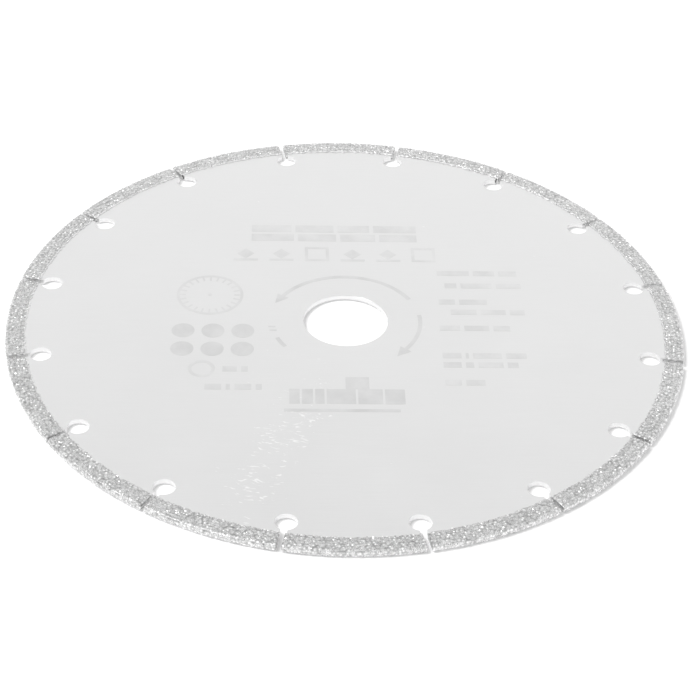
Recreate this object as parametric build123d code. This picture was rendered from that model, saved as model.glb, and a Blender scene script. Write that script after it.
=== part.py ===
from build123d import *
import os

# A thin diamond cutting blade for tile, stone and concrete. One flat steel core has a
# plain bore and keyhole slots that divide its edge into teeth, and every tooth carries
# its own nickel-bonded diamond rim, wrapped over both faces and the edge.
# The origin is the centre of the bore on the core's mid plane, with +Z along the bore
# and the printed face up. +X runs along the printed lines. All sizes are millimetres.

# The whole blade
outer_diameter = 160.0  # over the grit
tooth_count = 16

# Steel core
core_thickness = 1.2
bore_diameter = 20.0
bore_chamfer = 0.1
slot_width = 1.5
keyhole_diameter = 5.0
keyhole_land = 0.4  # bare steel between a keyhole and the rim

# Diamond rim of one tooth
rim_width = 5.1  # how far the rim reaches in from the edge, on both faces
rim_layer = 0.45  # nickel and grit over the steel, on the faces and on the edge
slot_plating = 0.3  # on each of the two walls that face the next teeth
rim_edge_radius = 0.7  # the two outer corners
rim_lip_radius = 0.25  # where the layer ends on a face

# Turning mark round the bore: directions are in degrees, anticlockwise from +X
ink_thickness = 0.03
arrow_gap = 7.2  # from the bore to the arrows' inner edge
arrow_width = 1.0
arrow_head_length = 3.5
arrow_head_width = 3.2
left_arrow = (29.0, 147.0)  # where the shaft starts, and where its head does
right_arrow = (7.5, -38.5)
long_dash = (203.5, 216.0)
short_dashes = (188.9, 193.6)  # two level dashes, by the direction of their middles
short_dash_length = 1.7
short_dash_width = 0.45

# Dots and rings, to the left of the turning mark
column_gap = 3.4  # from the turning mark to the nearest dots
dot_diameter = 5.4
dot_pitch = 7.0
dot_columns = 3
dot_rows = 2
dots_drop = 8.0  # from the bore's centre down to the middle of the dots
scale_ring_diameter = 16.0
scale_ring_width = 0.7
scale_ring_gap = 3.6  # from the dots up to the ring
scale_ring_shift = -1.1  # its centre, from the middle of the dots
scale_tick_count = 24
scale_tick_length = 1.5
scale_tick_width = 0.45
scale_dot_diameter = 1.0
small_ring_diameter = 6.2
small_ring_width = 0.8
small_ring_gap = 1.7  # from the dots down to the ring, and from the ring to the bars beside it
small_ring_shift = -2.2
lower_bars_gap = 2.5  # from the small ring down to the bars below it
lower_bars_shift = -1.3  # their left end, from the middle of the dots

# Symbols and title, above the turning mark
symbol_gap = 6.2  # from the turning mark up to the row of symbols
symbol_size = 6.0
symbol_pitch = 8.8
symbol_count = 6
symbol_line = 0.8
symbol_shift = -2.1  # the middle of the row, from the bore's centre
title_gap = 2.6  # from the symbols up to the title
title_height = 3.0
title_line_gap = 1.0
title_shift = -2.1

# Lines of print, as plain bars: the lengths in one line run from left to right
bar_height = 2.0
bar_space = 1.0  # between two bars in a line
upper_title_words = (10.0, 9.6, 8.0, 10.8)
lower_title_words = (10.6, 9.6, 8.8, 9.4)
ring_words = (3.3, 1.5)
lower_words = (3.8, 1.0, 3.8, 1.4)
side_margin = 4.0  # from the turning mark to the lines at the right
side_gap = 3.8  # from the symbols down to the first of them
side_lines = (  # each line's drop from the one above it, its indent and its bars
    (0.0, 0.6, (7.9, 5.2, 4.4)),
    (5.2, 2.2, (2.9, 7.6, 6.1)),
    (6.7, 0.4, (3.9, 6.7)),
    (4.1, 3.0, (6.2, 6.0, 3.6)),
    (6.4, 0.0, (4.8, 5.9, 4.0)),
    (10.6, 0.0, (4.4, 0.7, 6.7, 4.8)),
    (3.5, 0.0, (4.2, 1.9, 5.8, 2.5)),
    (6.6, 0.0, (3.8, 4.4)),
)

# Plain panel below the turning mark: cut into blocks, with a tab above and a rule below
panel_drop = 8.0
panel_length = 26.2
panel_height = 5.3
panel_shift = -0.3  # its middle, from the bore's centre
panel_cut = 0.5
panel_blocks = (2.6, 5.6, 8.2, 15.3, 21.4)  # from its left end to the middle of each cut
panel_tab_length = 5.4
panel_tab_height = 4.4
panel_tab_shift = 2.4  # the tab's middle, from the panel's
panel_rule = 1.0
panel_rule_gap = 1.8
panel_rule_shift = -1.2  # the rule's middle, from the panel's

outer_radius = outer_diameter / 2
core_radius = outer_radius - rim_layer
bore_radius = bore_diameter / 2
keyhole_circle = outer_radius - rim_width - keyhole_land - keyhole_diameter / 2
tooth_angle = 360 / tooth_count
slot_angles = [tooth_angle * (number + 0.5) for number in range(tooth_count)]
face = core_thickness / 2
rim_face = face + rim_layer
arrow_inner = bore_radius + arrow_gap
arrow_outer = arrow_inner + arrow_width
dots_across = dot_diameter / 2 + (dot_columns - 1) * dot_pitch / 2
dots_up = dot_diameter / 2 + (dot_rows - 1) * dot_pitch / 2
left_column = -(arrow_outer + column_gap + dots_across)
small_ring_radius = small_ring_diameter / 2
small_ring_centre = (
    left_column + small_ring_shift,
    -(dots_up + dots_drop + small_ring_gap + small_ring_radius),
)
symbols_bottom = arrow_outer + symbol_gap


def slotted_plate(thickness):
    """The core's outline as a plate: a disc less its bore, slots and keyholes."""
    plate = Cylinder(core_radius, thickness) - Cylinder(bore_radius, thickness)
    slot_length = outer_radius - keyhole_circle
    slot = Pos(keyhole_circle + slot_length / 2, 0) * Box(slot_length, slot_width, thickness)
    keyhole = Pos(keyhole_circle, 0) * Cylinder(keyhole_diameter / 2, thickness)
    return plate - [Rot(0, 0, angle) * (slot + keyhole) for angle in slot_angles]


def make_core():
    """The steel core, with the burr broken at both ends of the bore."""
    core = slotted_plate(core_thickness)
    circles = core.edges().filter_by(GeomType.CIRCLE)
    bore_edges = circles.filter_by(lambda edge: abs(edge.radius - bore_radius) < bore_chamfer)
    return chamfer(bore_edges, bore_chamfer)


def make_rims(core):
    """The diamond rims: a rounded band round the edge, cut at the slots, less the steel."""
    with BuildPart() as band:
        with BuildSketch(Plane.XZ):
            with Locations((outer_radius - rim_width / 2, 0)):
                Rectangle(rim_width, 2 * rim_face)
            corners = vertices().sort_by(Axis.X)
            fillet(corners[2:], rim_edge_radius)
            fillet(corners[:2], rim_lip_radius)
        revolve(axis=Axis.Z)
    gap = Box(2 * rim_width, slot_width - 2 * slot_plating, 3 * rim_face)
    gaps = [Rot(0, 0, angle) * Pos(outer_radius, 0) * gap for angle in slot_angles]
    return (band.part - gaps - core).solids()


def turn_of(solid):
    """The direction of a solid's centre, from 0 up to a full turn."""
    centre = solid.center()
    turn = Vector(1, 0, 0).get_signed_angle(Vector(centre.X, centre.Y, 0), Vector(0, 0, 1))
    return round(turn, 3) % 360


def bar(left, middle, length, height):
    """A plain upright rectangle, placed by its left end and the middle of its height."""
    return Pos(left + length / 2, middle) * Rectangle(length, height)


def bar_line(left, middle, height, lengths):
    """Plain bars in a row, standing for a line of print."""
    bars = []
    for length in lengths:
        bars.append(bar(left, middle, length, height))
        left += length + bar_space
    return bars


def ring(diameter, width):
    """A flat ring with the given outer diameter."""
    return Circle(diameter / 2) - Circle(diameter / 2 - width)


def arc_band(start, end):
    """A stretch of the turning mark's circle, between two directions."""
    inner = CenterArc((0, 0), arrow_inner, start, end - start)
    outer = CenterArc((0, 0), arrow_outer, start, end - start)
    return make_face([inner, outer, Line(inner @ 0, outer @ 0), Line(inner @ 1, outer @ 1)])


def arrow(start, end):
    """A shaft along the circle from start to end, with a head that points on from its end."""
    half = arrow_head_width / 2
    tip = arrow_head_length if end > start else -arrow_head_length
    head = make_face(Polyline((-half, 0), (half, 0), (0, tip), close=True))
    return [arc_band(start, end), Rot(0, 0, end) * Pos(arrow_inner + arrow_width / 2, 0) * head]


def arrow_marks():
    """A two-way turning mark: an arrow each way round the bore, and three dashes."""
    marks = arrow(*left_arrow) + arrow(*right_arrow) + [arc_band(*long_dash)]
    dash = Rectangle(short_dash_length, short_dash_width)
    for turn in short_dashes:
        centre = (arrow_inner + arrow_width / 2) * Vector(1, 0).rotate(Axis.Z, turn)
        marks.append(Pos(centre) * dash)
    return marks


def dot_marks():
    """Round dots in rows."""
    marks = []
    for column in range(dot_columns):
        across = left_column + (column - (dot_columns - 1) / 2) * dot_pitch
        for row in range(dot_rows):
            up = (row - (dot_rows - 1) / 2) * dot_pitch - dots_drop
            marks.append(Pos(across, up) * Circle(dot_diameter / 2))
    return marks


def ring_marks():
    """A ring with ticks and a centre dot above the dots, and a small plain ring below."""
    scale = [ring(scale_ring_diameter, scale_ring_width), Circle(scale_dot_diameter / 2)]
    reach = scale_ring_diameter / 2 - scale_ring_width - scale_tick_length / 2
    for number in range(scale_tick_count):
        tick = Pos(reach, 0) * Rectangle(scale_tick_length, scale_tick_width)
        scale.append(Rot(0, 0, 360 / scale_tick_count * number) * tick)
    up = dots_up - dots_drop + scale_ring_gap + scale_ring_diameter / 2
    placed = [Pos(left_column + scale_ring_shift, up) * mark for mark in scale]
    return placed + [Pos(small_ring_centre) * ring(small_ring_diameter, small_ring_width)]


def title_marks():
    """Two lines of plain bars over the symbols."""
    length = sum(upper_title_words) + bar_space * (len(upper_title_words) - 1)
    left = title_shift - length / 2
    lower = symbols_bottom + symbol_size + title_gap + title_height / 2
    upper = lower + title_height + title_line_gap
    lower_bars = bar_line(left, lower, title_height, lower_title_words)
    return lower_bars + bar_line(left, upper, title_height, upper_title_words)


def symbol_marks():
    """A row of plain square frames, and lozenges that each stand over a rule."""
    frame = Rectangle(symbol_size, symbol_size)
    frame -= Rectangle(symbol_size - 2 * symbol_line, symbol_size - 2 * symbol_line)
    lozenge = Rot(0, 0, 45) * Rectangle(symbol_size / 2, symbol_size / 2)
    rule = Pos(0, -(symbol_size - symbol_line) / 2) * Rectangle(symbol_size, symbol_line)
    marks = []
    for number in range(symbol_count):
        across = symbol_shift + (number - (symbol_count - 1) / 2) * symbol_pitch
        place = Pos(across, symbols_bottom + symbol_size / 2)
        marks += [place * shape for shape in ([frame] if number % 3 == 2 else [lozenge, rule])]
    return marks


def side_marks():
    """Lines of plain bars at the right, and two short lines beside and below the small ring."""
    marks = []
    middle = symbols_bottom - side_gap - bar_height / 2
    for drop, indent, words in side_lines:
        middle -= drop
        marks += bar_line(arrow_outer + side_margin + indent, middle, bar_height, words)
    across, beside = small_ring_centre
    right_of_ring = across + small_ring_radius + small_ring_gap
    marks += bar_line(right_of_ring, beside, bar_height, ring_words)
    below = beside - small_ring_radius - lower_bars_gap - bar_height / 2
    return marks + bar_line(left_column + lower_bars_shift, below, bar_height, lower_words)


def panel_marks():
    """A plain panel under the turning mark: its blocks, a tab above and a rule below."""
    top = -(arrow_outer + panel_drop)
    middle = top - panel_height / 2
    left = panel_shift - panel_length / 2
    panel = bar(left, middle, panel_length, panel_height)
    tab_left = panel_shift + panel_tab_shift - panel_tab_length / 2
    panel += bar(tab_left, top + panel_tab_height / 2, panel_tab_length, panel_tab_height)
    for reach in panel_blocks:
        panel -= bar(left + reach - panel_cut / 2, middle, panel_cut, panel_height)
    rule = top - panel_height - panel_rule_gap - panel_rule / 2
    return [panel, bar(left + panel_rule_shift, rule, panel_length, panel_rule)]


def make_print(marks, steel_outline):
    """Marks as a film of ink on the upper face, and only where there is steel under them."""
    film = Pos(0, 0, face) * extrude(marks[0].fuse(*marks[1:]), ink_thickness)
    return film & steel_outline


def main():
    """Write one STEP file for each piece."""
    core = make_core()
    pieces = {"steel_core": core}
    for number, rim in enumerate(sorted(make_rims(core), key=turn_of), start=1):
        pieces[f"diamond_rim_{number:02d}"] = rim
    steel_outline = Pos(0, 0, face + ink_thickness / 2) * slotted_plate(ink_thickness)
    prints = {
        "print_arrows": arrow_marks(),
        "print_dots": dot_marks(),
        "print_rings": ring_marks(),
        "print_symbols": symbol_marks(),
        "print_title_bars": title_marks(),
        "print_side_bars": side_marks(),
        "print_panel": panel_marks(),
    }
    for name, marks in prints.items():
        pieces[name] = make_print(marks, steel_outline)
    os.makedirs("parts", exist_ok=True)
    for name, piece in pieces.items():
        export_step(piece, f"parts/{name}.step")
        print(name, len(piece.solids()), "solids", round(piece.volume, 3), "mm3")


main()
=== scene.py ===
from math import cos, pi, radians, sin

import bmesh
import bpy
import numpy as np
from mathutils import Matrix, Vector


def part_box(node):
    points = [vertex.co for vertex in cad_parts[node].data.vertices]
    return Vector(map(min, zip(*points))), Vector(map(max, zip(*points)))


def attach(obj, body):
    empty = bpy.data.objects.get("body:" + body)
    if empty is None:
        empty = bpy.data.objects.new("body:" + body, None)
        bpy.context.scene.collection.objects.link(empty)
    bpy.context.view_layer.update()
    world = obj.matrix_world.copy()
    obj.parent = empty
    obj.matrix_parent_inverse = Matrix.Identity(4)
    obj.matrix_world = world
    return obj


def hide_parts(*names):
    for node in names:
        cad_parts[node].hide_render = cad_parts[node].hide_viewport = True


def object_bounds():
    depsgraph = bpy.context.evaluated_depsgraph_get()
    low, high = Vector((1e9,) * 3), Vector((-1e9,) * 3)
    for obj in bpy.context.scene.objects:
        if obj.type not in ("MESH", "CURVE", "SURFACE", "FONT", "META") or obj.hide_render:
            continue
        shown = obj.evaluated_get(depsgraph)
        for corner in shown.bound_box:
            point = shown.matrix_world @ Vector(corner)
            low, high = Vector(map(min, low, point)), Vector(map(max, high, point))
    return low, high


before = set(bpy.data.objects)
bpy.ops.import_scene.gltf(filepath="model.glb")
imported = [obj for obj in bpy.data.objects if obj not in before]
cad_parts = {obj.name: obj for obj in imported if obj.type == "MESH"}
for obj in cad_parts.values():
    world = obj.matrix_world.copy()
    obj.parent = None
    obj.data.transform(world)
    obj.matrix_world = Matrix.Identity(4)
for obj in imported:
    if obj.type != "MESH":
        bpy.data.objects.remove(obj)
cad_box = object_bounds()
scene = bpy.context.scene
scene.view_settings.view_transform = "Standard"

# Camera
# It looks down on the printed face from in front, a little turned and rolled, through a
# long lens. Its aim lies on the core's upper face, in front of the bore.
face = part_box("steel_core")[1].z
camera_turn = radians(-2.587)
camera_elevation = radians(37.381)
camera_roll = radians(2.034)
camera_distance = 0.4603
camera_aim = Vector((0.00041, -0.01026, face))
camera_lens = 102.6
camera_sensor = 36.0
nearest_seen = 0.01
farthest_seen = 20.0

camera = bpy.data.objects.new("camera", bpy.data.cameras.new("camera"))
camera.data.sensor_width = camera_sensor
camera.data.lens = camera_lens
camera.data.clip_start = nearest_seen
camera.data.clip_end = farthest_seen
tilt = Matrix.Rotation(pi / 2 - camera_elevation, 4, "X") @ Matrix.Rotation(camera_roll, 4, "Z")
camera.matrix_world = (
    Matrix.Rotation(camera_turn, 4, "Z")
    @ Matrix.Translation(camera_aim)
    @ tilt
    @ Matrix.Translation((0, 0, camera_distance))
)
scene.collection.objects.link(camera)
scene.camera = camera

# Floor and light
# A white studio: a pale floor that the rims rest on, an even white surround with a
# brighter band all round it at 25 degrees up, and one broad soft lamp high at the left.
floor_level = cad_box[0].z
floor_reach = 3.0
floor_white = 0.93
floor_lift = 0.15
floor_shine = 0.40
surround_diffuse = 0.56
horizon_rise = 0.08
horizon_shine = 0.90
band_rise = 0.42
band_shine = 1.26
zenith_rise = 0.82
zenith_shine = 0.72
right_shine = 0.15
lamp_turn = radians(198)
lamp_rise = 1.8
lamp_direction = Vector((cos(lamp_turn), sin(lamp_turn), lamp_rise)).normalized()
lamp_distance = 0.9
lamp_size = 0.34
lamp_power = 5.0
glow_shine = 6.0
glow_edge = radians(17)
glow_core = radians(7)


def add_node(tree, kind, inputs=None, **settings):
    """A shader node. inputs gives each socket, by name or number, a value or another socket."""
    made = tree.nodes.new(kind)
    for name, value in settings.items():
        setattr(made, name, value)
    for socket, value in (inputs or {}).items():
        if isinstance(value, bpy.types.NodeSocket):
            tree.links.new(value, made.inputs[socket])
        else:
            made.inputs[socket].default_value = value
    return made


def calculate(tree, operation, *values):
    """The output of a Math node on one, two or three values or sockets."""
    return add_node(tree, "ShaderNodeMath", dict(enumerate(values)), operation=operation).outputs[0]


def total(tree, *values):
    """The sum of values or sockets, added up from left to right."""
    so_far = values[0]
    for value in values[1:]:
        so_far = calculate(tree, "ADD", so_far, value)
    return so_far


def ranged(tree, value, low, high, new_low=0.0, new_high=1.0, kind="LINEAR"):
    """value mapped from low..high to new_low..new_high, and held at the ends."""
    inputs = {0: value, 1: low, 2: high, 3: new_low, 4: new_high}
    return add_node(tree, "ShaderNodeMapRange", inputs, interpolation_type=kind).outputs[0]


def mixed(tree, share, first, second):
    """first where share is 0, second where it is 1, and in between in proportion."""
    return add_node(tree, "ShaderNodeMix", {0: share, 2: first, 3: second}).outputs[0]


def make_surround():
    """The world: white where it is seen, and dimmer where it lights. Where it is mirrored, it
    is graded from the horizon up to a bright band and on to the zenith, is a little brighter
    at the right than at the left, and glows where the lamp is."""
    world = bpy.data.worlds.new("white_surround")
    world.use_nodes = True
    tree = world.node_tree
    tree.nodes.clear()
    direction = add_node(tree, "ShaderNodeTexCoord").outputs["Generated"]
    parts = add_node(tree, "ShaderNodeSeparateXYZ", {0: direction}).outputs
    below_band = ranged(tree, parts["Z"], horizon_rise, band_rise, horizon_shine - band_shine, 0.0)
    above_band = ranged(tree, parts["Z"], band_rise, zenith_rise, band_shine, zenith_shine)
    banded = total(tree, below_band, above_band)
    graded = calculate(tree, "MULTIPLY_ADD", parts["X"], right_shine, banded)
    towards_lamp = add_node(
        tree, "ShaderNodeVectorMath", {0: direction, 1: lamp_direction}, operation="DOT_PRODUCT"
    ).outputs["Value"]
    glow = ranged(tree, towards_lamp, cos(glow_edge), cos(glow_core), 0.0, glow_shine, "SMOOTHSTEP")
    mirrored = total(tree, graded, glow)
    path = add_node(tree, "ShaderNodeLightPath").outputs
    unseen = mixed(tree, path["Is Glossy Ray"], surround_diffuse, mirrored)
    strength = mixed(tree, path["Is Camera Ray"], unseen, 1.0)
    background = add_node(tree, "ShaderNodeBackground", {"Color": (1, 1, 1, 1), "Strength": strength})
    add_node(tree, "ShaderNodeOutputWorld", {"Surface": background.outputs[0]})
    return world


def make_floor_finish():
    """Matt white that keeps the shadow of what lies on it, lifted a little where it is seen
    and more where the blade mirrors it."""
    material = bpy.data.materials.new("white_floor")
    material.use_nodes = True
    tree = material.node_tree
    tree.nodes.clear()
    white = (floor_white, floor_white, floor_white, 1)
    matt = add_node(tree, "ShaderNodeBsdfDiffuse", {"Color": white})
    path = add_node(tree, "ShaderNodeLightPath").outputs
    seen = calculate(tree, "MULTIPLY", path["Is Camera Ray"], floor_lift)
    lift = calculate(tree, "MULTIPLY_ADD", path["Is Glossy Ray"], floor_shine, seen)
    glow = add_node(tree, "ShaderNodeEmission", {"Strength": lift})
    both = add_node(tree, "ShaderNodeAddShader", {0: matt.outputs[0], 1: glow.outputs[0]})
    add_node(tree, "ShaderNodeOutputMaterial", {"Surface": both.outputs[0]})
    return material


def make_floor():
    """One wide quad that the rims rest on."""
    corners = np.array([(-1, -1), (1, -1), (1, 1), (-1, 1)]) * floor_reach
    mesh = bpy.data.meshes.new("studio_floor")
    mesh.from_pydata([(x, y, floor_level) for x, y in corners], [], [(0, 1, 2, 3)])
    mesh.materials.append(make_floor_finish())
    floor = bpy.data.objects.new("studio_floor", mesh)
    scene.collection.objects.link(floor)


scene.world = make_surround()
make_floor()
lamp = bpy.data.objects.new("soft_lamp", bpy.data.lights.new("soft_lamp", "AREA"))
lamp.data.size = lamp_size
lamp.data.energy = lamp_power
lamp.location = lamp_direction * lamp_distance
lamp.rotation_mode = "QUATERNION"
lamp.rotation_quaternion = lamp_direction.to_track_quat("Z", "Y")
lamp.visible_glossy = False
scene.collection.objects.link(lamp)

# Steel core
# One disc cut from hardened steel sheet, ground flat on both faces to a fine satin. The
# walls of the bore, slots and keyholes, cut by laser, are one plain grey.
steel_grey = 0.785
steel_metal = 0.80
cut_wall_grey = 0.75
grinding_waves = (90, 5200, 90)
grinding_depth = 0.000004
grinding_swing = 0.01
grinding_rough = (0.30, 0.40)
cloud_waves = (34, 34, 34)
cloud_swing = 0.012
cloud_rough = 0.03
# The scuffs are painted near white: fine scratches with a painted glint on them.
scuff_glint_grey = 0.95
scuff_waves = (560, 1900, 0)
scuff_turn = radians(10)
scuff_bend = (0.004, 0.004, 0.0)
scuff_softness = 0.07
bend_waves = 160.0
trail_place = (-0.0165, -0.047, face)
trail_turn = radians(-22)
trail_shape = (0.30, 1.3, 0.03)
trail_core = 0.012
trail_edge = 0.036
needed_in_trail = 0.60
needed_outside = 0.78
patch_waves = (150, 230, 0)
patch_swing = (0.07, -0.06)


def new_finish(name):
    """An empty material with its node tree, its Principled shader and its object coordinates."""
    material = bpy.data.materials.new(name)
    material.use_nodes = True
    tree = material.node_tree
    shader = tree.nodes["Principled BSDF"]
    place = add_node(tree, "ShaderNodeTexCoord").outputs["Object"]
    return material, tree, shader, place


def stretched_noise(tree, place, waves, detail=2.0, turn=0.0):
    """Noise between 0 and 1 with its own number of waves per metre along X, Y and Z. The
    place may be turned about Z first."""
    if turn:
        turning = {"Vector": place, "Rotation": (0, 0, turn)}
        place = add_node(tree, "ShaderNodeMapping", turning).outputs[0]
    scaled = add_node(tree, "ShaderNodeMapping", {"Vector": place, "Scale": waves}).outputs[0]
    noise = add_node(tree, "ShaderNodeTexNoise", {"Vector": scaled, "Scale": 1.0, "Detail": detail})
    return noise.outputs[0]


def spread(tree, noise, low, high):
    """Noise, which lies mostly between 0.3 and 0.7, mapped to low..high."""
    return ranged(tree, noise, 0.3, 0.7, low, high)


def swing(tree, noise, amount):
    """Noise mapped to -amount..amount."""
    return spread(tree, noise, -amount, amount)


def grey_of(tree, value):
    """A neutral colour from one number."""
    return add_node(tree, "ShaderNodeCombineColor", {0: value, 1: value, 2: value}).outputs[0]


def scuff_glint_marks(tree, place):
    """1 on fine scuffs painted bright as glints, which crowd in a trail in front of the bore and are
    rare elsewhere.

    Thin noise, long nearly along X and bent by a slower noise, shows only where it is highest.
    How high it has to be depends on a patchy noise and on the distance from the trail's
    middle, taken in a frame that is turned and stretched with the trail."""
    trail = {
        "Vector": place,
        "Location": trail_place,
        "Rotation": (0, 0, trail_turn),
        "Scale": trail_shape,
    }
    squeezed = add_node(tree, "ShaderNodeMapping", trail, vector_type="TEXTURE").outputs[0]
    length = add_node(tree, "ShaderNodeVectorMath", {0: squeezed}, operation="LENGTH")
    away = length.outputs["Value"]
    slow_noise = {"Vector": place, "Scale": bend_waves, "Detail": 2.0}
    bend = add_node(tree, "ShaderNodeTexNoise", slow_noise).outputs["Color"]
    bent = add_node(
        tree, "ShaderNodeVectorMath", {0: bend, 1: scuff_bend, 2: place}, operation="MULTIPLY_ADD"
    ).outputs[0]
    streaks = stretched_noise(tree, bent, scuff_waves, 2.0, scuff_turn)
    patches = stretched_noise(tree, place, patch_waves, 2.0)
    needed = total(
        tree,
        ranged(tree, away, trail_core, trail_edge, needed_in_trail, needed_outside),
        ranged(tree, patches, 0.35, 0.65, *patch_swing),
    )
    return ranged(tree, calculate(tree, "SUBTRACT", streaks, needed), 0.0, scuff_softness)


def make_satin_steel():
    """Ground steel: fine lines along X, soft clouding, plain cut walls and a few scuffs painted pale
    as glints.
    """
    material, tree, shader, place = new_finish("satin_ground_steel")
    lines = stretched_noise(tree, place, grinding_waves, 3.0)
    clouds = stretched_noise(tree, place, cloud_waves, 3.0)
    facing = add_node(tree, "ShaderNodeTexCoord").outputs["Normal"]
    upright = add_node(tree, "ShaderNodeSeparateXYZ", {0: facing}).outputs["Z"]
    wall = ranged(tree, calculate(tree, "ABSOLUTE", upright), 0.2, 0.8, 1.0, 0.0)
    ground = total(tree, swing(tree, clouds, cloud_swing), swing(tree, lines, grinding_swing))
    grey = mixed(tree, wall, total(tree, ground, steel_grey), cut_wall_grey)
    # Painted glints: the grey turns near white on the scuffs.
    grey = mixed(tree, scuff_glint_marks(tree, place), grey, scuff_glint_grey)
    rough = total(
        tree,
        ranged(tree, lines, 0.25, 0.75, *grinding_rough),
        swing(tree, clouds, cloud_rough),
    )
    grinding = {"Height": lines, "Distance": grinding_depth, "Strength": 0.5}
    bump = add_node(tree, "ShaderNodeBump", grinding)
    tree.links.new(grey_of(tree, grey), shader.inputs["Base Color"])
    tree.links.new(rough, shader.inputs["Roughness"])
    tree.links.new(bump.outputs[0], shader.inputs["Normal"])
    shader.inputs["Metallic"].default_value = steel_metal
    return material


def refinish(node, material):
    """Gives a CAD piece, kept as it is, its finish."""
    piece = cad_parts[node]
    piece.data.materials.clear()
    piece.data.materials.append(material)


refinish("steel_core", make_satin_steel())

# Printed marks
# A thin film of grey ink on the upper face: the turning mark, dots, rings, symbols, bars
# and panel. It is printed thinly, so the steel's satin shows through, and it is rubbed.
ink_grey = 0.70
faded_ink_grey = 0.735
ink_metal = 0.85
wear_waves = (900, 900, 900)
wear_lift = (-0.01, 0.02)
wear_rough = (0.38, 0.5)
fading_waves = (160, 160, 160)
fading_lift = (-0.02, 0.04)
solid_marks = ("print_arrows", "print_dots", "print_panel")
printed_nodes = sorted(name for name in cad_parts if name.startswith("print_"))


def make_grey_ink(name, unworn_grey):
    """Rubbed ink: a little matt over the metal, and lighter where it has worn thin."""
    material, tree, shader, place = new_finish(name)
    worn = stretched_noise(tree, place, wear_waves, 4.0)
    faded = stretched_noise(tree, place, fading_waves, 2.0)
    grey = total(
        tree,
        ranged(tree, worn, 0.35, 0.70, *wear_lift),
        ranged(tree, faded, 0.35, 0.65, *fading_lift),
        unworn_grey,
    )
    tree.links.new(grey_of(tree, grey), shader.inputs["Base Color"])
    tree.links.new(spread(tree, worn, *wear_rough), shader.inputs["Roughness"])
    shader.inputs["Metallic"].default_value = ink_metal
    return material


grey_ink = make_grey_ink("thin_grey_ink", ink_grey)
faded_ink = make_grey_ink("faded_grey_ink", faded_ink_grey)
for name in printed_nodes:
    refinish(name, grey_ink if name in solid_marks else faded_ink)

# Nickel of the rims
# Each tooth carries nickel that was plated on over both faces and the edge, up between
# the diamonds and thinly down the slot walls. It is lumpy, with a soft metal sheen.
rim_nodes = sorted(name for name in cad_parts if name.startswith("diamond_rim_"))
tooth_half_angle = pi / len(rim_nodes)
rim_radius = cad_box[1].x
rim_face = cad_box[1].z
rim_width = 0.0051
steel_radius = rim_radius - (rim_face - face)
lip_radius = rim_radius - rim_width
slot_to_nickel = 0.00045  # from a slot's middle
slot_to_steel = 0.00075
bed_depth = 0.00023  # the nickel between its lumps lies this far inside the solid rim
edge_round = 0.00057
lip_slope = 0.00028
lip_stand = 0.00001  # the lip's foot is this far off the steel
side_round = 0.00022
side_steps = np.array([0.0, 0.08, 0.3, 0.65])  # grid rows on a side's round, as shares of it
side_shares = np.array([0.0, 0.35, 0.7])  # how far out the rows that close a side lie
grid_step = 0.00014
grain_pitch = 0.00066
cell_play = 0.7  # the share of its cell that a grain may lie in
lump_height = 0.00013
lump_reach = 0.00048
lump_fade = 0.0003  # lumps die away over this distance to a side or lip
least_lump = 0.45  # the lowest lump, as a share of the highest
margin_reach = 0.00060  # the most that the nickel's edge is drawn back at random
margin_width = 0.0011  # how far into the nickel that line is felt
margin_pitch = 0.00045
margin_seed = 50
mask_slip = 0.00030  # the most that it is drawn back where the mask had slipped
slip_turn = radians(-45)
lip_level = 1.1  # the level that the finish takes the lips to be at
lip_band = 0.6 * margin_width
lip_foot = 0.00030
# Painted shade: a lip's very foot is painted darker.
foot_shade_share = 0.30  # what is left of a level at a lip's very foot
wall_level = 0.40  # the level that it takes the slot walls to be at
weld_distance = 1e-8
sharp_angle = radians(50)
# Painted shade: the nickel is painted darker down between the lumps than on their tops.
painted_shade_grey = 0.475  # between the lumps
high_grey = 0.96
low_rough = 0.50
high_rough = 0.34
broad_waves = (240, 240, 240)
broad_swing = 0.05
mottled_waves = (1100, 1100, 1100)
mottled_swing = 0.08
fine_waves = (2600, 2600, 2600)
fine_swing = 0.08
fine_rough = (-0.08, 0.10)
fine_depth = 0.00002
# Painted light: the nickel and the diamonds are painted paler towards +X and +Y, where the light is
# brighter.
painted_light_drift = (0.10, 0.45, 0.0)  # change of grey for each metre along X, Y and Z


def run(start, end):
    """Points about a grid step apart on a straight line, from start up to but without end."""
    count = round(np.hypot(end[0] - start[0], end[1] - start[1]) / grid_step)
    share = np.arange(count)[:, None] / count
    return np.array(start) + share * (np.array(end) - np.array(start))


def quarter(centre, radii, start):
    """Points on a quarter of an ellipse, clockwise from the angle start, without its end."""
    count = round(np.hypot(*radii) * pi / 2 / grid_step)
    angle = start - np.arange(count) / count * pi / 2
    return np.array(centre) + radii * np.stack([np.cos(angle), np.sin(angle)], 1)


def bed_outline():
    """The nickel's outline in (r, z), from the upper lip out, round the edge and back to the
    lower lip: straight runs and quarter ellipses joined end to end, and the lower half the
    mirror of the upper."""
    half_height, radius = rim_face - bed_depth, rim_radius - bed_depth
    lip_rise = half_height - face - lip_stand
    inner, outer = lip_radius + lip_slope, radius - edge_round
    upper = np.concatenate([
        quarter((inner, half_height - lip_rise), (lip_slope, lip_rise), pi),
        run((inner, half_height), (outer, half_height)),
        quarter((outer, half_height - edge_round), (edge_round, edge_round), pi / 2),
        run((radius, half_height - edge_round), (radius, 0)),
    ])
    return np.concatenate([upper, [(radius, 0.0)], upper[::-1] * (1, -1)])


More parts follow.
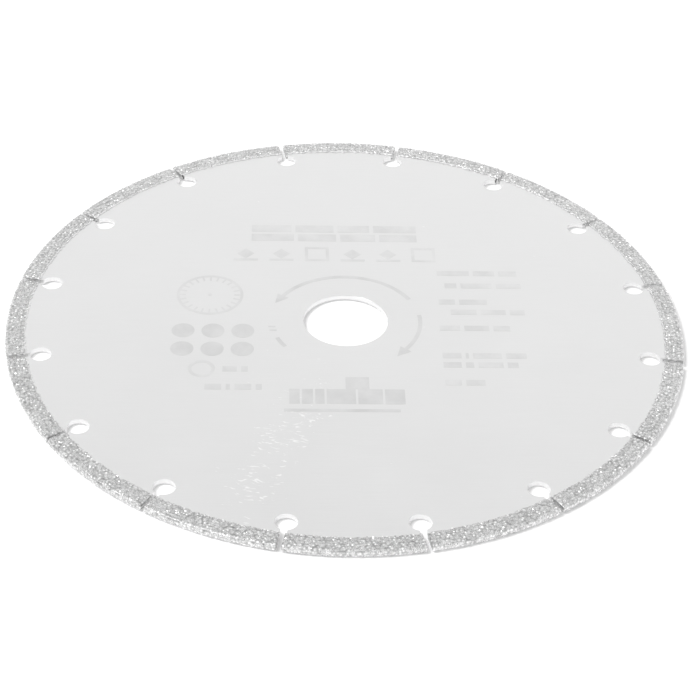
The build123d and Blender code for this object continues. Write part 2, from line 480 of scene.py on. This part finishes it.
outline = bed_outline()
outline_run = np.concatenate([[0.0], np.cumsum(np.hypot(*np.diff(outline, axis=0).T))])
outline_slope = np.gradient(outline, outline_run, axis=0)
outline_normal = np.stack([-outline_slope[:, 1], outline_slope[:, 0]], 1)
outline_normal /= np.hypot(*outline_normal.T)[:, None]
tooth_run = 2 * tooth_half_angle * (rim_radius - rim_width / 2) - 2 * slot_to_nickel
grain_columns = int(tooth_run / grain_pitch)
grain_rows = int(outline_run[-1] / grain_pitch)
inner_steps = np.linspace(side_round, tooth_run - side_round, round(tooth_run / grid_step))
first_steps = side_steps * side_round
tooth_steps = np.concatenate([first_steps, inner_steps, tooth_run - first_steps[::-1]])
skin_along, skin_down = np.meshgrid(tooth_steps, outline_run, indexing="ij")
skin_to_side = np.minimum(skin_along, tooth_run - skin_along)
skin_to_lip = np.minimum(skin_down, outline_run[-1] - skin_down)


def side_angle(radius, slot_offset):
    """Half the angle of a tooth at a radius, its sides slot_offset from the slots' middles."""
    return tooth_half_angle - np.arcsin(slot_offset / radius)


def drawn_back(along, margin):
    """How far out the nickel's edge on the steel lies, along a tooth: a random broken line."""
    return np.interp(along, np.linspace(0, tooth_run, len(margin)), margin)


def on_rim(along, down, height, margins):
    """Points over the nickel's outline: along the tooth, down the outline, and height out from it.

    A point's (r, z) is the outline's at that run plus height times its normal. Near the
    lips the outline is pushed out by the edge's broken line, and the less the further it
    is from the lip. The angle is the tooth's half angle at r times the share along it."""
    radius, z, out_r, out_z = (
        np.interp(down, outline_run, column) for column in (*outline.T, *outline_normal.T)
    )
    length = np.hypot(out_r, out_z)
    radius = radius + height * out_r / length
    for margin, from_lip in zip(margins, (down, outline_run[-1] - down)):
        radius = radius + drawn_back(along, margin) * np.clip(1 - from_lip / margin_width, 0, 1)
    angle = (2 * along / tooth_run - 1) * side_angle(radius, slot_to_nickel)
    return np.stack([radius * np.cos(angle), radius * np.sin(angle), z + height * out_z / length], -1)


def scatter_grains(number):
    """The grains of one tooth, one to a cell of a brick lattice: their places, moved at
    random inside the cell, and three more random numbers for each."""
    random = np.random.default_rng(number).random((grain_columns, grain_rows, 5))
    column, row = np.meshgrid(np.arange(grain_columns), np.arange(grain_rows), indexing="ij")
    brick = 0.5 * (row % 2) - 0.25
    along = (column + 0.5 + brick + cell_play * (random[..., 0] - 0.5)) * tooth_run / grain_columns
    down = (row + 0.5 + cell_play * (random[..., 1] - 0.5)) * outline_run[-1] / grain_rows
    return along, down, random[..., 2:]


def ragged_margins(number, turn):
    """How far the nickel's edges are drawn back along the upper and the lower face of one tooth:
    at random, and more on the side that the plating mask had slipped to."""
    points = int(tooth_run / margin_pitch)
    random = np.random.default_rng(number + margin_seed).random((2, points))
    return margin_reach * random + mask_slip * (1 + cos(turn - slip_turn)) / 2


def lumps(along, down, grains):
    """Height of the nickel where it has grown up round the grains, from 0 to 1.

    The largest, over the grains of the nearest cells, of (1 - (distance / reach)^2)^2
    times the grain's own size."""
    grain_along, grain_down, random = grains
    column = (along / tooth_run * grain_columns).astype(int)
    row = (down / outline_run[-1] * grain_rows).astype(int)
    height = np.zeros(along.shape)
    for step_column in (-1, 0, 1):
        for step_row in (-1, 0, 1):
            cell = (
                np.clip(column + step_column, 0, grain_columns - 1),
                np.clip(row + step_row, 0, grain_rows - 1),
            )
            distance = np.hypot(along - grain_along[cell], down - grain_down[cell])
            rise = np.clip(1 - (distance / lump_reach) ** 2, 0, 1) ** 2
            size = least_lump + (1 - least_lump) * random[cell + (0,)]
            height = np.maximum(height, rise * size)
    return height


def close_side(row, slot_offset, shares):
    """Rows that close a tooth's side: the side's outline drawn in towards the middle of the lip."""
    radius, z = np.hypot(row[:, 0], row[:, 1]), row[:, 2]
    side = np.sign(row[0, 1])
    rows = []
    for share in shares:
        drawn = lip_radius + (radius - lip_radius) * share
        angle = side * side_angle(drawn, slot_offset)
        rows.append(np.stack([drawn * np.cos(angle), drawn * np.sin(angle), z * share], 1))
    return np.array(rows)


def closed_cup(rows, slot_offset):
    """A grid of rows across a tooth, with both of its sides closed down to a point."""
    first = close_side(rows[0], slot_offset, side_shares)
    last = close_side(rows[-1], slot_offset, side_shares[::-1])
    return np.concatenate([first, rows, last])


def nickel_skin(raised, margins):
    """The nickel's lumpy outer surface on one tooth, as a grid of points.

    It stands off the outline by the lumps' height, which fades out towards the sides and
    the lips, and it sinks at each side by a quarter circle."""
    fade = np.clip(np.minimum(skin_to_side, skin_to_lip) / lump_fade, 0, 1)
    near_side = np.clip(1 - skin_to_side / side_round, 0, 1)
    sink = side_round * (1 - np.sqrt(1 - near_side**2))
    skin = on_rim(skin_along, skin_down, raised * fade * lump_height - sink, margins)
    return closed_cup(skin, slot_to_nickel)


def nickel_hollow(margins):
    """The smooth hollow that holds the steel, as a grid with four points to a row: the upper
    lip, the steel's upper and lower edge, and the lower lip."""
    lips = [lip_radius + drawn_back(tooth_steps, margin) for margin in margins]
    end = np.full(len(tooth_steps), steel_radius)
    reach = np.stack([lips[0], end, end, lips[1]], 1)
    height = np.broadcast_to((face, face, -face, -face), reach.shape)
    angle = (2 * tooth_steps / tooth_run - 1)[:, None] * side_angle(reach, slot_to_steel)
    hollow = np.stack([reach * np.cos(angle), reach * np.sin(angle), height], -1)
    return closed_cup(hollow, slot_to_steel)


def grid_faces(corner):
    """Quads between each row of a grid of point numbers and the next."""
    corners = [corner[:-1, :-1], corner[:-1, 1:], corner[1:, 1:], corner[1:, :-1]]
    return np.stack(corners, -1).reshape(-1, 4)


def cup_faces(skin, hollow):
    """Quads over the skin and the hollow, and between the two along both lips."""
    count = len(skin) * skin.shape[1]
    outer = np.arange(count).reshape(len(skin), -1)
    inner = count + np.arange(len(hollow) * hollow.shape[1]).reshape(len(hollow), -1)
    lips = [
        np.stack([one[:-1], other[:-1], other[1:], one[1:]], -1)
        for one, other in ((inner[:, 0], outer[:, 0]), (outer[:, -1], inner[:, -1]))
    ]
    return np.concatenate([grid_faces(outer), grid_faces(inner)[:, ::-1], *lips])


def nickel_levels(raised):
    """How far up each point of the skin lies, for the finish, which paints shade from it: the lumps'
    height, so the hollows between them are painted darker, but high all along the lips, low at their
    very foot as a painted shade there, and one level on the slot walls."""
    raised = np.maximum(raised, np.clip(lip_level - skin_to_lip / lip_band, 0, 1))
    off_foot = np.clip(skin_to_lip / lip_foot, 0, 1)
    raised = raised * (foot_shade_share + (1 - foot_shade_share) * off_foot)
    closing_rows = (len(side_shares), len(side_shares))
    return np.pad(raised, (closing_rows, (0, 0)), constant_values=wall_level)


def tooth_turn(node):
    """The direction of a tooth's middle from the centre of the bore."""
    low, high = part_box(node)
    middle = (low + high) / 2
    return np.arctan2(middle.y, middle.x)


def mesh_piece(name, points, faces, turn, material):
    """A mesh from numpy arrays, turned about Z to its tooth, riding on the blade."""
    mesh = bpy.data.meshes.new(name)
    spin = np.array([[cos(turn), sin(turn), 0], [-sin(turn), cos(turn), 0], [0, 0, 1]])
    mesh.from_pydata((points.reshape(-1, 3) @ spin).tolist(), [], faces)
    mesh.materials.append(material)
    piece = bpy.data.objects.new(name, mesh)
    scene.collection.objects.link(piece)
    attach(piece, "root")
    return piece


def set_attribute(piece, name, values):
    """One number for each point of a piece, which its finish reads by name."""
    attribute = piece.data.attributes.new(name, "FLOAT", "POINT")
    attribute.data.foreach_set("value", values.astype(np.float32))


def weld_and_smooth(mesh):
    """Merges the doubles where the cup closes, turns its faces outwards and shades it smooth."""
    work = bmesh.new()
    work.from_mesh(mesh)
    bmesh.ops.remove_doubles(work, verts=work.verts, dist=weld_distance)
    bmesh.ops.recalc_face_normals(work, faces=work.faces)
    work.to_mesh(mesh)
    work.free()
    mesh.polygons.foreach_set("use_smooth", np.ones(len(mesh.polygons), bool))
    mesh.set_sharp_from_angle(angle=sharp_angle)


def make_nickel(node, grains, margins, material):
    """The nickel of one tooth: a lumpy cup over the tooth, round the hollow that holds the steel."""
    raised = lumps(skin_along, skin_down, grains)
    skin, hollow = nickel_skin(raised, margins), nickel_hollow(margins)
    points = np.concatenate([skin.reshape(-1, 3), hollow.reshape(-1, 3)])
    faces = cup_faces(skin, hollow).tolist()
    piece = mesh_piece("rim_nickel_" + node[-2:], points, faces, tooth_turn(node), material)
    levels = [nickel_levels(raised).ravel(), np.zeros(hollow.size // 3)]
    set_attribute(piece, "raised", np.concatenate(levels))
    weld_and_smooth(piece.data)
    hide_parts(node)


def with_painted_light(tree, grey, place):
    """grey plus a painted light that changes slowly over the whole blade: the place's dot product
    with the drift.
    """
    drift = add_node(
        tree, "ShaderNodeVectorMath", {0: place, 1: painted_light_drift}, operation="DOT_PRODUCT"
    ).outputs["Value"]
    return total(tree, grey, drift)


def make_nickel_finish():
    """Plated nickel: a soft metal, duller down between the lumps and painted darker there as shade,
    mottled, and with a fine crystalline grain."""
    material, tree, shader, place = new_finish("plated_nickel")
    raised = add_node(tree, "ShaderNodeAttribute", attribute_name="raised").outputs["Fac"]
    broad = stretched_noise(tree, place, broad_waves, 2.0)
    mottled = stretched_noise(tree, place, mottled_waves, 1.0)
    fine = stretched_noise(tree, place, fine_waves, 3.0)
    grey = total(
        tree,
        ranged(tree, raised, 0.0, 0.9, painted_shade_grey, high_grey),
        swing(tree, broad, broad_swing),
        swing(tree, fine, fine_swing),
        swing(tree, mottled, mottled_swing),
    )
    rough = total(
        tree,
        ranged(tree, raised, 0.2, 0.9, low_rough, high_rough),
        spread(tree, fine, *fine_rough),
    )
    bump = add_node(tree, "ShaderNodeBump", {"Height": fine, "Distance": fine_depth, "Strength": 0.6})
    # Painted light: the grey grows paler towards +X and +Y.
    tree.links.new(grey_of(tree, with_painted_light(tree, grey, place)), shader.inputs["Base Color"])
    tree.links.new(rough, shader.inputs["Roughness"])
    tree.links.new(bump.outputs[0], shader.inputs["Normal"])
    shader.inputs["Metallic"].default_value = 1.0
    return material


plated_nickel = make_nickel_finish()
tooth_grains = {node: scatter_grains(number) for number, node in enumerate(rim_nodes)}
tooth_margins = {
    node: ragged_margins(number, tooth_turn(node)) for number, node in enumerate(rim_nodes)
}
for node in rim_nodes:
    make_nickel(node, tooth_grains[node], tooth_margins[node], plated_nickel)

# Diamonds
# Saw-grade synthetic diamonds, each a cube with its corners cut off, held by the nickel at
# all angles. Some are smoky, some frosted and painted pale to stand in for glints too, and most
# shine under a thin skin of nickel.
grain_radius = 0.00030  # of the largest
least_grain = 0.62  # the smallest crystal, as a share of the largest
least_stand = 0.50  # how high the smallest one's tip stands, as a share of bed_depth
standing_share = 0.90
side_clear = 1.2 * grain_radius
lip_clear = 1.2 * side_clear
crystal_seed = 100
wall_columns = 5
wall_rows = 2
wall_stand = 0.35
smoky_limit = 0.30
frosted_limit = 0.86
limit_width = 0.02
darkest_grey = 0.30
palest_grey = 0.80
# Painted glints: the frosted crystals are made paler, standing in for sparkles as well as frost.
frosted_and_glint_lift = 0.30
flaw_waves = (3800, 3800, 3800)
flaw_swing = 0.06
flaw_rough = (0.06, 0.2)
diamond_ior = 2.4


def crystal_shape():
    """A cuboctahedron: its corners are the middles of a cube's edges, at distance 1, and its
    faces look along the cube's axes and diagonals. Returns the corners, and for each face
    the numbers of its corners in turn."""
    signs = [(1, 1), (1, -1), (-1, 1), (-1, -1)]
    corners = np.concatenate([np.insert(signs, axis, 0, axis=1) for axis in range(3)]) / np.sqrt(2)
    diagonals = np.array([(x, y, z) for x in (-1, 1) for y in (-1, 1) for z in (-1, 1)])
    normals = np.concatenate([np.eye(3), -np.eye(3), diagonals / np.sqrt(3)])
    loops = []
    for normal in normals:
        reach = corners @ normal
        on_face = np.flatnonzero(reach > reach.max() - 1e-6)
        spokes = corners[on_face] - corners[on_face].mean(0)
        angle = np.arctan2(spokes @ np.cross(normal, spokes[0]), spokes @ spokes[0])
        loops.append(on_face[np.argsort(angle)])
    return corners, loops


crystal_corners, crystal_loops = crystal_shape()


def random_turns(random):
    """Rotation matrices spread evenly over all turns, from three random numbers each.

    A unit quaternion from two circles whose radii are the square roots of u and 1 - u."""
    share, first, second = random[..., 0], 2 * pi * random[..., 1], 2 * pi * random[..., 2]
    x, y = np.sqrt(1 - share) * np.sin(first), np.sqrt(1 - share) * np.cos(first)
    z, w = np.sqrt(share) * np.sin(second), np.sqrt(share) * np.cos(second)
    rows = [
        [1 - 2 * (y * y + z * z), 2 * (x * y - z * w), 2 * (x * z + y * w)],
        [2 * (x * y + z * w), 1 - 2 * (x * x + z * z), 2 * (y * z - x * w)],
        [2 * (x * z - y * w), 2 * (y * z + x * w), 1 - 2 * (x * x + y * y)],
    ]
    return np.stack([np.stack(row, -1) for row in rows], -2)


def on_walls(random, size):
    """Places for crystals on the two slot walls of a tooth: a lattice over (r, z), moved at
    random in its cells. Each stands out of the wall by a share of its size."""
    across, up = np.meshgrid(np.arange(wall_columns), np.arange(wall_rows), indexing="ij")
    across, up = (np.tile(cells.ravel(), 2) for cells in (across, up))
    low, high = lip_radius + 2 * grain_radius, rim_radius - 2 * grain_radius
    radius = low + (high - low) * (across + 0.5 + cell_play * (random[:, 0] - 0.5)) / wall_columns
    z = 2 * face * ((up + 0.5 + cell_play * (random[:, 1] - 0.5)) / wall_rows - 0.5)
    side = np.repeat((-1.0, 1.0), wall_columns * wall_rows)
    angle = side * side_angle(radius, slot_to_nickel + size * (1 - wall_stand))
    return np.stack([radius * np.cos(angle), radius * np.sin(angle), z], 1)


def standing_grains(grains):
    """The grains that stand out of the nickel: most of those clear of the sides and lips."""
    along, down, random = grains
    standing = (along > side_clear) & (along < tooth_run - side_clear)
    standing &= (down > lip_clear) & (down < outline_run[-1] - lip_clear)
    standing &= random[..., 1] < standing_share
    return along[standing], down[standing], random[standing][:, 0]


def make_diamonds(node, grains, margins, material):
    """The crystals of one tooth, over its outline and then on its slot walls. Each is sunk in
    the nickel, large ones stand out furthest, and none reaches past the solid rim."""
    along, down, share = standing_grains(grains)
    count = len(along) + 2 * wall_columns * wall_rows
    random = np.random.default_rng(int(node[-2:]) + crystal_seed).random((count, 7))
    share = np.concatenate([share, random[len(along):, 4]])
    size = grain_radius * (least_grain + (1 - least_grain) * share)
    height = bed_depth * (least_stand + (1 - least_stand) * share) - size
    middles = np.concatenate([
        on_rim(along, down, height[:len(along)], margins),
        on_walls(random[len(along):, 5:], size[len(along):]),
    ])
    turned = np.einsum("nij,kj->nki", random_turns(random[:, :3]), crystal_corners)
    points = middles[:, None, :] + turned * size[:, None, None]
    radius = np.hypot(points[..., 0], points[..., 1])
    points[..., :2] *= np.minimum(1, rim_radius / radius)[..., None]
    points[..., 2] = np.clip(points[..., 2], -rim_face, rim_face)
    starts = np.arange(count) * len(crystal_corners)
    faces = [(start + loop).tolist() for start in starts for loop in crystal_loops]
    piece = mesh_piece("rim_diamonds_" + node[-2:], points, faces, tooth_turn(node), material)
    set_attribute(piece, "shade", np.repeat(random[:, 3], len(crystal_corners)))


def past_limit(tree, shade, limit, most=1.0):
    """0 for crystals whose shade is under the limit, and most for those past it."""
    return ranged(tree, shade, limit, limit + limit_width, 0.0, most)


def make_diamond_finish():
    """Crystals by their shade: smoky glass at first, then brighter with the nickel's sheen,
    and the last of them frosted and painted pale, which stands in for glints as well."""
    material, tree, shader, place = new_finish("synthetic_diamond")
    shade = add_node(tree, "ShaderNodeAttribute", attribute_name="shade").outputs["Fac"]
    flaws = stretched_noise(tree, place, flaw_waves, 2.0)
    frosted = past_limit(tree, shade, frosted_limit, frosted_and_glint_lift)
    grey = total(
        tree,
        ranged(tree, shade, 0.0, 0.6, darkest_grey, palest_grey),
        swing(tree, flaws, flaw_swing),
        frosted,
    )
    skinned = calculate(
        tree,
        "SUBTRACT",
        past_limit(tree, shade, smoky_limit),
        past_limit(tree, shade, frosted_limit),
    )
    rough = total(tree, spread(tree, flaws, *flaw_rough), frosted)
    # Painted light: the grey grows paler towards +X and +Y.
    tree.links.new(grey_of(tree, with_painted_light(tree, grey, place)), shader.inputs["Base Color"])
    tree.links.new(skinned, shader.inputs["Metallic"])
    tree.links.new(rough, shader.inputs["Roughness"])
    shader.inputs["IOR"].default_value = diamond_ior
    return material


synthetic_diamond = make_diamond_finish()
for node in rim_nodes:
    make_diamonds(node, tooth_grains[node], tooth_margins[node], synthetic_diamond)
